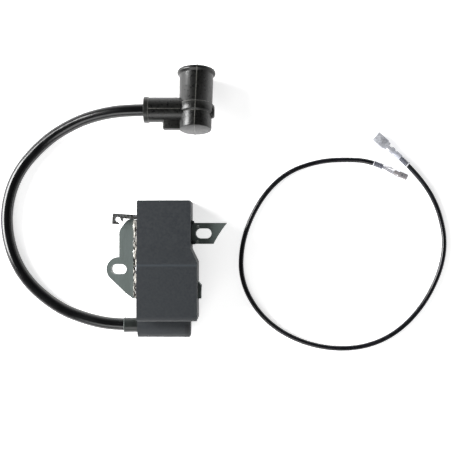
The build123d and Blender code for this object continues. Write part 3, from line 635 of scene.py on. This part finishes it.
@dataclass
class CoilModule:
    """Case, core, resin, stop tab and the sealed pieces inside."""

    case_edge: float = 0.3
    tab_edge: float = 0.12
    core_top: float = 20.95
    interlocks: tuple[tuple[float, float], ...] = ((23.9, -17.7), (15.4, -17.4))
    tower: tuple[float, float] = (-32.2, 8.0)
    tower_end: float = -13.2
    tower_band: float = 3.4
    grommet_end: float = 24.8

    def build_case(self) -> None:
        """Rounds the case's edges and dresses it."""
        case = softened("case", "moulded_case", self.case_edge, 18.0)
        dress(case, CASE_PBT, "module")
        x, z = self.tower
        place = along(Vector((x, self.tower_end, z)) * MM, SIDEWAYS, UP)
        end = self.tower_band
        profile = [(6.2, 0.55), (6.55, 0.45), (6.96, 0.95), (6.99, 1.1), (6.99, end), (6.9, end + 0.06),
                   (6.2, end + 0.06), (6.2, 0.55)]
        # The tower's end band is painted darker as shade.
        dress(turned("tower_end_band", profile, place, 96), TOWER_PBT, "module")

    def build_core(self) -> None:
        """Dresses the stamped sheets and presses the interlocks into them."""
        paint("core_laminations", CORE_STEEL)
        for number, (x, y) in enumerate(self.interlocks, 1):
            place = along(Vector((x, y, self.core_top)) * MM, UP, Vector((1, 0, 0)))
            profile = [(0, 0.01), (0.35, 0.01), (0.55, 0.06), (0.7, 0.13), (0.85, 0.1), (0.95, -0.04),
                       (0, -0.04)]
            dimple = turned(f"core_interlock_{number}", profile, place, 32)
            # The dimples' bright colour is a painted highlight.
            dress(dimple, PRESSED_STEEL, "module")
        outline = [(13.9, -13.6), (27.6, -13.6), (27.2, -15.4), (26.2, -15.9), (25.6, -14.9), (23.4, -14.4),
                   (19.0, -14.3), (16.4, -14.6), (14.9, -15.9), (14.3, -16.9), (13.9, -15.6)]
        creep = slab("pole_leg_resin", outline, self.core_top - 0.2, self.core_top + 0.75,
                     Matrix.Identity(4), 0.4)
        dress(creep, CREEP_EPOXY, "module")

    def build_bead(self) -> None:
        """Gives the squeezed-out resin its lumpy surface."""
        bead = bpy.data.objects.new("resin_bead", frame["nodes"]["yoke_resin_bead"].data.copy())
        bpy.context.scene.collection.objects.link(bead)
        apply_modifier(bead, "REMESH", mode="VOXEL", voxel_size=0.35 * MM)
        lumps = bpy.data.textures.new("resin_lumps", "CLOUDS")
        lumps.noise_scale = 2.2 * MM
        lumps.noise_depth = 2
        apply_modifier(bead, "DISPLACE", texture=lumps, texture_coords="LOCAL", strength=1.1 * MM,
                       mid_level=0.62)
        apply_modifier(bead, "SMOOTH", factor=0.5, iterations=2)
        pick(bead)
        bpy.ops.object.shade_smooth()
        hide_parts("yoke_resin_bead")
        # The bead's pale patches are painted highlights.
        dress(bead, BEAD_EPOXY, "module")

    def build_tab(self) -> None:
        """Breaks the edges of the stop tab."""
        dress(softened("stop_tab", "stop_tab_blade", self.tab_edge), TINNED_STEEL, "module")

    def build_grommet(self) -> None:
        """Breaks the grommet's edges and rolls its lip."""
        dress(softened("lead_grommet", "lead_grommet_sleeve", 0.15), GROMMET_NYLON, "module")
        place = along(Vector((self.tower[0], self.grommet_end, self.tower[1])) * MM, SIDEWAYS, UP)
        profile = [(3.62, -0.5), (4.15, -0.6), (4.3, -0.35), (4.3, 0.0), (4.1, 0.22), (3.75, 0.25),
                   (3.6, 0.1), (3.62, -0.5)]
        # The lip's paler colour is a painted highlight.
        dress(turned("lead_grommet_lip", profile, place, 64), GROMMET_LIP, "module")

    def dress_inside(self) -> None:
        """Dresses the pieces sealed in the case, which keep the frame's shapes."""
        for node, finish in {
            "potting_resin": POTTING_EPOXY,
            "primary_bobbin": BOBBIN_PBT,
            "secondary_bobbin": BOBBIN_PBT,
            "primary_winding": MAGNET_WIRE,
            "charge_winding": MAGNET_WIRE,
            "secondary_winding": MAGNET_WIRE,
            "circuit_board": BOARD_LAMINATE,
            "charge_capacitor": CAPACITOR_DIP,
            "thyristor": PACKAGE_EPOXY,
            "diodes": PACKAGE_EPOXY,
            "control_chip": PACKAGE_EPOXY,
            "resistors": PACKAGE_EPOXY,
            "earth_strap": TINNED_STEEL,
            "high_tension_pin": PIN_BRASS,
        }.items():
            paint(node, finish)

    def build(self) -> None:
        """Builds and dresses the whole module."""
        self.build_case()
        self.build_core()
        self.build_bead()
        self.build_tab()
        self.build_grommet()
        self.dress_inside()


# ------------------------------------------------------------------ plug lead and boot


@dataclass
class PlugBoot:
    """Moulded rubber elbow: a barrel for the plug, an arm for the lead, a web and a stub."""

    elbow: tuple[float, float, float] = (89.9, -16.2, 15.817)
    tilt: float = 13.0
    lean: float = 0.6
    mouth: float = 23.1
    tail: float = 11.9
    lip_r: float = 10.9
    barrel_r: float = 9.7
    waist_r: float = 9.4
    tail_r: float = 9.1
    band_r: float = 10.2
    arm_r: float = 7.1
    arm_l: float = 29.3
    seam_w: float = 0.5
    seam_h: float = 0.25

    def directions(self) -> tuple[Vector, Vector, Vector, Vector]:
        """Gives the elbow's place and the directions of the mouth, the arm and the camera side."""
        tilt, lean = math.radians(self.tilt), math.radians(self.lean)
        mouth = Vector((math.cos(tilt) * math.cos(lean), -math.cos(tilt) * math.sin(lean), -math.sin(tilt)))
        return Vector(self.elbow) * MM, mouth, SIDEWAYS, (UP - mouth * mouth.dot(UP)).normalized()

    def outside(self) -> list[tuple[float, float]]:
        """Gives the barrel's outer profile as radius and height, from the tail to the mouth."""
        closed_end = [(8.4, -self.tail), (8.8, -self.tail + 0.14), (9.0, -self.tail + 0.4),
                      (self.tail_r, -self.tail + 0.8), (self.tail_r, -3.0)]
        band = [(self.tail_r + 0.15, -2.9), (self.band_r - 0.15, -2.35), (self.band_r, -2.1),
                (self.band_r, 1.9), (self.band_r - 0.15, 2.15), (self.waist_r + 0.1, 2.6)]
        barrel = [(self.waist_r, 2.9), (self.barrel_r, self.mouth - 2.9),
                  (self.barrel_r + 0.2, self.mouth - 2.6)]
        lip = [(self.lip_r - 0.35, self.mouth - 2.05), (self.lip_r - 0.05, self.mouth - 1.75),
               (self.lip_r, self.mouth - 1.4), (self.lip_r, self.mouth - 0.6),
               (self.lip_r - 0.2, self.mouth - 0.2), (self.lip_r - 0.6, self.mouth)]
        return [*closed_end, *band, *barrel, *lip]

    def barrel(self) -> bpy.types.Object:
        """Turns the barrel with its band, lip, bore and chamber."""
        elbow, mouth, _, up = self.directions()
        inside = [(6.3, self.mouth), (5.9, self.mouth - 0.2), (5.7, self.mouth - 0.7), (5.7, 8.3), (4.8, 8.3),
                  (4.8, -6.5), (0.0, -6.5)]
        profile = [(0.0, -self.tail), *self.outside(), *inside]
        return turned("plug_boot_elbow", profile, along(elbow, mouth, up), 128)

    def arm(self) -> bpy.types.Object:
        """Turns the arm with its end bead and the lead's bore."""
        elbow, _, arm, _ = self.directions()
        end, r = self.arm_l, self.arm_r
        profile = [(0.0, 5.6), (r, 5.6), (r, end - 3.0), (r + 0.1, end - 2.85), (r + 0.33, end - 2.5),
                   (r + 0.35, end - 2.2), (r + 0.35, end - 0.5), (r + 0.25, end - 0.15), (r - 0.1, end),
                   (4.1, end), (3.75, end - 0.12), (3.56, end - 0.45), (3.55, 19.75), (0.0, 19.75)]
        return turned("plug_boot_arm", profile, along(elbow, arm, UP), 96)

    def stub(self) -> bpy.types.Object:
        """Turns the stub opposite the arm."""
        elbow, mouth, arm, _ = self.directions()
        profile = [(0.0, 6.0), (3.9, 6.0), (3.9, 9.5), (3.8, 9.95), (3.5, 10.35), (3.1, 10.6), (2.6, 10.7),
                   (0.0, 10.7)]
        return turned("plug_boot_stub", profile, along(elbow - mouth * 1.1 * MM, -arm, UP), 48)

    def web(self) -> bpy.types.Object:
        """Cuts the web between the closed end and the arm."""
        elbow, mouth, arm, _ = self.directions()
        outline = [(-11.8, 5.4), (-0.1, 5.4), (-0.1, 18.3), (-11.8, 18.3)]
        return slab("plug_boot_web", outline, -2.3, 2.3, along(elbow, mouth.cross(arm), mouth), 0.9)

    def seam(self) -> bpy.types.Object:
        """Makes the mould's parting line, a low fin along the barrel, across the closed end and along the
        arm, with thin rings at the band's edges and on the arm's bead, all painted grey as highlights.
        """
        elbow, mouth, arm, up = self.directions()
        rise = self.seam_h
        crest = [(height, radius + rise) for radius, height in self.outside()]
        crest[0] = (crest[0][0] - rise, 8.4)
        crest[-1] = (self.mouth + 0.9, self.lip_r - 0.9)
        outline = [(-self.tail - rise, -8.6), *crest, (self.mouth - 0.4, self.lip_r - 1.6),
                   (self.mouth - 3.2, 8.0), (-self.tail + 2.0, 7.0), (-self.tail + 2.0, -8.0)]
        turn = Matrix.Rotation(math.radians(-1.6), 4, UP)
        place = along(elbow, up.cross(mouth) * -1, mouth)
        place = Matrix.Translation(elbow) @ turn @ Matrix.Translation(-elbow) @ place
        half = self.seam_w / 2
        fin = slab("barrel_fin", outline, -half, half, place, 0.08)
        r, end = self.arm_r, self.arm_l
        outline = [(8.4, r - 1.2), (8.4, r + 0.1), (end - 3.1, r + 0.16), (end - 3.1, r - 1.2)]
        arm_fin = slab("arm_fin", outline, -0.22, 0.22, along(elbow, arm.cross(UP), arm), 0.06)
        rings = [self.highlight_ring(s, r) for s, r in ((-2.95, self.tail_r + 0.12), (2.25, self.band_r - 0.08))]
        bead = turned("arm_bead_painted_highlight", [(r - 0.4, end - 2.95), (r + 0.28, end - 2.85), (r + 0.36, end - 2.62),
                                    (r + 0.3, end - 2.45), (r - 0.4, end - 2.4), (r - 0.4, end - 2.95)],
                      along(elbow, arm, UP), 96)
        return gathered("plug_boot_seam_and_painted_highlights", [fin, arm_fin, *rings, bead])

    def highlight_ring(self, s: float, radius: float) -> bpy.types.Object:
        """Turns a thin grey ring at one edge of the band, a painted highlight."""
        elbow, mouth, _, up = self.directions()
        profile = [(radius - 0.5, s - 0.2), (radius, s - 0.17), (radius + 0.13, s), (radius, s + 0.17),
                   (radius - 0.5, s + 0.2), (radius - 0.5, s - 0.2)]
        return turned("band_edge_painted_highlight", profile, along(elbow, mouth, up), 128)

    def build(self) -> bpy.types.Object:
        """Moulds the boot in one and dresses it with the pieces inside.

        Returns:
            The boot.
        """
        boot = self.barrel()
        for part in (self.arm(), self.web(), self.stub()):
            combine(boot, part)
        smooth(boot, 38)
        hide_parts("plug_boot")
        dress(boot, BOOT_EPDM, body_of("plug_boot"))
        # The seam fins and the rings are painted grey as highlights.
        dress(self.seam(), EPDM_FLASH_HIGHLIGHT, body_of("plug_boot"))
        paint("contact_spring", SPRING_STEEL)
        paint("lead_spike", PIN_BRASS)
        return boot


@dataclass
class PlugLead:
    """High-tension lead from the grommet round to the boot."""

    diameter: float = 7.0
    length: float = 242.5
    route: tuple[tuple[float, float, float], ...] = (
        (-32.2, 8.5, 8.0), (-32.2, 25.0, 8.0), (-30.6, 42.0, 6.5), (-22.4, 65.3, 3.5), (-2.6, 86.5, 3.5),
        (25.2, 94.9, 3.5), (52.4, 89.6, 3.5), (72.9, 72.1, 4.0), (83.9, 53.2, 7.5), (88.6, 36.0, 12.5),
        (89.9, 19.5, 15.817), (89.9, 3.5, 15.817))

    def build(self) -> bpy.types.Object:
        """Lays the lead in its jacket.

        Returns:
            The cord.
        """
        lead = laid_cord("plug_lead_cord", self.route, self.diameter)
        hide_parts("plug_lead")
        return dress(lead, LEAD_JACKET, body_of("plug_lead"))


# ------------------------------------------------------------------ stop lead


@dataclass
class StopLead:
    """Thin stop wire with a blade receptacle at one end and a small contact at the other."""

    diameter: float = 2.8
    length: float = 357.6
    sheet: float = 0.4
    crimp_wall: float = 0.45
    strand_r: float = 0.17
    fan_lift: float = 0.35
    fan_turn: float = 2.4
    route: tuple[tuple[float, float, float], ...] = (
        (58.6, -123.6, 2.85), (61.8, -116.3, 2.85), (62.9, -104.0, 1.4), (62.1, -87.0, 1.4),
        (55.4, -67.6, 1.4), (39.4, -52.3, 1.4), (16.0, -42.2, 1.4), (-8.5, -41.6, 1.4), (-31.0, -55.5, 1.4),
        (-44.6, -79.5, 1.4), (-47.5, -107.5, 1.4), (-38.8, -131.5, 1.4), (-18.5, -150.2, 1.4),
        (9.0, -161.0, 1.4), (35.0, -156.7, 1.4), (55.1, -143.7, 2.5), (66.0, -131.4, 2.5))

    def end_place(self, last: int, before: int) -> Matrix:
        """Gives a wire end's place: Z out of the wire, Y down.

        Args:
            last: the number of the route's end point.
            before: the number of the point next to it.

        Returns:
            The place as a matrix.
        """
        end, other = Vector(self.route[last]) * MM, Vector(self.route[before]) * MM
        axis = (end - other).normalized()
        return along(end, axis, axis.cross(UP))

    def grip(self, name: str, low: float, high: float, radius: float, place: Matrix) -> bpy.types.Object:
        """Crimps a barrel with flared ends round the wire."""
        wall = self.crimp_wall
        profile = [(radius, low), (radius + wall + 0.08, low), (radius + wall, low + 0.35),
                   (radius + wall, high - 0.35), (radius + wall + 0.08, high), (radius, high), (radius, low)]
        return turned(name, profile, place, 40)

    def receptacle(self) -> bpy.types.Object:
        """Stamps and rolls the blade receptacle.

        Returns:
            The receptacle as one piece.
        """
        place = self.end_place(-1, -2)
        flat = place @ LAID_FLAT
        half = [(0.7, 0.0), (0.75, 0.55), (1.05, 0.84), (1.8, 0.85), (2.6, 0.82), (2.92, 0.5), (3.0, 0.0),
                (2.95, -0.55), (2.7, -0.95), (2.3, -1.05)]
        line = [*half, *[(-x, y) for x, y in reversed(half)]]
        wings = [(-1.95, -0.2), (-1.8, -0.75), (-1.2, -1.02), (1.2, -1.02), (1.8, -0.75), (1.95, -0.2)]
        shoulder = [(-2.4, 0.1), (-2.3, -0.7), (-1.7, -1.03), (1.7, -1.03), (2.3, -0.7), (2.4, 0.1)]
        floor = slab("floor", [(-1.0, 0.05), (1.0, 0.05), (1.0, 6.0), (2.9, 8.3), (-2.9, 8.3), (-1.0, 6.0)],
                     -1.25, -0.8, flat, 0.06)
        lance = slab("lance", [(-1.3, 10.2), (1.3, 10.2), (1.3, 13.2), (-1.3, 13.2)], -1.42, -1.2, flat, 0.1)
        step = slab("step", [(-0.8, 0.05), (0.8, 0.05), (0.8, 0.6), (-0.8, 0.6)], -1.7, -1.0, flat, 0.05)
        piece = gathered("blade_receptacle", [
            rolled("head", line, 8.0, 15.7, self.sheet, place), floor, lance, step,
            self.grip("strand_grip", 1.4, 4.6, 0.8, place), self.grip("jacket_grip", -3.2, 0.6, 1.45, place),
            rolled("wings", wings, 2.0, 4.2, self.sheet, place),
            rolled("shoulder", shoulder, 6.2, 8.1, self.sheet, place)])
        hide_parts("receptacle_terminal")
        return dress(piece, TERMINAL_TIN, body_of("receptacle_terminal"))

    def contact(self) -> bpy.types.Object:
        """Stamps the small contact.

        Returns:
            The contact as one piece.
        """
        place = self.end_place(0, 1)
        flat = place @ LAID_FLAT
        line = [(-1.1, 0.28), (-1.4, 0.12), (-1.4, -0.7), (-1.25, -1.0), (1.25, -1.0), (1.4, -0.7),
                (1.4, 0.12), (1.1, 0.28)]
        piece = gathered("small_contact", [
            rolled("head", line, 10.3, 15.4, self.sheet, place),
            slab("neck", [(-0.8, 7.35), (0.8, 7.35), (0.8, 9.8), (1.5, 10.8), (-1.5, 10.8), (-0.8, 9.8)],
                 -1.25, -0.8, flat, 0.05),
            self.grip("strand_grip", 7.3, 9.5, 0.8, place)])
        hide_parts("contact_terminal")
        dress(piece, CONTACT_WORN, body_of("contact_terminal"))
        # A dark patch of the packages' epoxy, painted shade where the contact's window shows only shade
        # beneath.
        painted_shade_spot = slab("contact_window_painted_shade", [(-0.5, 11.6), (0.5, 11.6), (0.5, 12.6), (-0.5, 12.6)],
                    -1.23, -1.0, flat, 0.05)
        dress(painted_shade_spot, PACKAGE_EPOXY, body_of("contact_terminal"))
        return piece

    def strands(self) -> bpy.types.Object:
        """Fans the bare strands out of both wire ends.

        Returns:
            All strands as one curve.
        """
        data = bpy.data.curves.new("bare_strands", "CURVE")
        data.dimensions = "3D"
        data.resolution_u = 10
        data.bevel_depth = self.strand_r * MM
        data.bevel_resolution = 3
        data.use_fill_caps = True
        contact_fan = [(0.3, 1.2, 0.9, 9.2), (-0.4, 0.3, 0.2, 9.2), (0.0, -0.3, -0.2, 9.2),
                       (-0.3, -1.2, -1.5, 6.0), (0.45, 1.3, 1.75, 11.5), (-0.15, -0.9, -1.55, 5.2),
                       (0.2, 0.7, 0.4, 9.2)]
        receptacle_fan = [(0.4, 0.45, 0.4, 5.0), (-0.4, -0.45, -0.4, 5.2), (0.0, 0.05, 0.0, 4.9)]
        fans = ((self.end_place(0, 1), contact_fan), (self.end_place(-1, -2), receptacle_fan))
        for place, wires in fans:
            for number, (root, middle, tip, reach) in enumerate(wires):
                lift = self.fan_lift * math.sin(self.fan_turn * number)
                spline = data.splines.new("NURBS")
                spline.points.add(3)
                bends = ((root, -1.5), (root, 0.6), (middle, 0.55 * reach), (tip, reach))
                for point, (x, z) in zip(spline.points, bends):
                    point.co = (*(place @ (Vector((x, lift, z)) * MM)), 1.0)
                spline.order_u = 3
                spline.use_endpoint_u = True
        piece = bpy.data.objects.new("bare_strands", data)
        bpy.context.scene.collection.objects.link(piece)
        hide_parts("wire_strands")
        return dress(piece, STRAND_COPPER, body_of("wire_strands"))

    def sleeve_ends(self) -> list[bpy.types.Object]:
        """Shows the white cut ends of the two clear sleeves.

        Returns:
            One ring for each sleeve.
        """
        rings = []
        for name, node, place, at, radius in (
                ("contact_sleeve_cut", "contact_sleeve", self.end_place(0, 1), -5.6, 1.55),
                ("receptacle_sleeve_cut", "receptacle_sleeve", self.end_place(-1, -2), -9.2, 2.0)):
            profile = [(radius, at - 0.08), (radius + 0.36, at - 0.08), (radius + 0.4, at + 0.1),
                       (radius + 0.36, at + 0.3), (radius, at + 0.3), (radius, at - 0.08)]
            rings.append(dress(turned(name, profile, place, 40), CUT_PVC, body_of(node)))
            paint(node, CLEAR_PVC)
        return rings

    def build(self) -> None:
        """Lays the wire and puts its ends on."""
        wire = laid_cord("stop_lead_cord", self.route, self.diameter)
        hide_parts("stop_lead")
        dress(wire, WIRE_PVC, body_of("stop_lead"))
        pieces = [self.receptacle(), self.contact(), self.strands(), bpy.data.objects["contact_window_painted_shade"],
                  *self.sleeve_ends(), "receptacle_sleeve", "contact_sleeve"]


def main() -> None:
    """Builds the studio and every piece, and reports each of them."""
    logging.basicConfig(level=logging.INFO, format="%(message)s")
    studio = Studio()
    studio.place_camera()
    lead = PlugLead()
    cord = lead.build()
    StopLead().build()
    PlugBoot().build()
    CoilModule().build()
    studio.build()


if __name__ == "__main__":
    main()
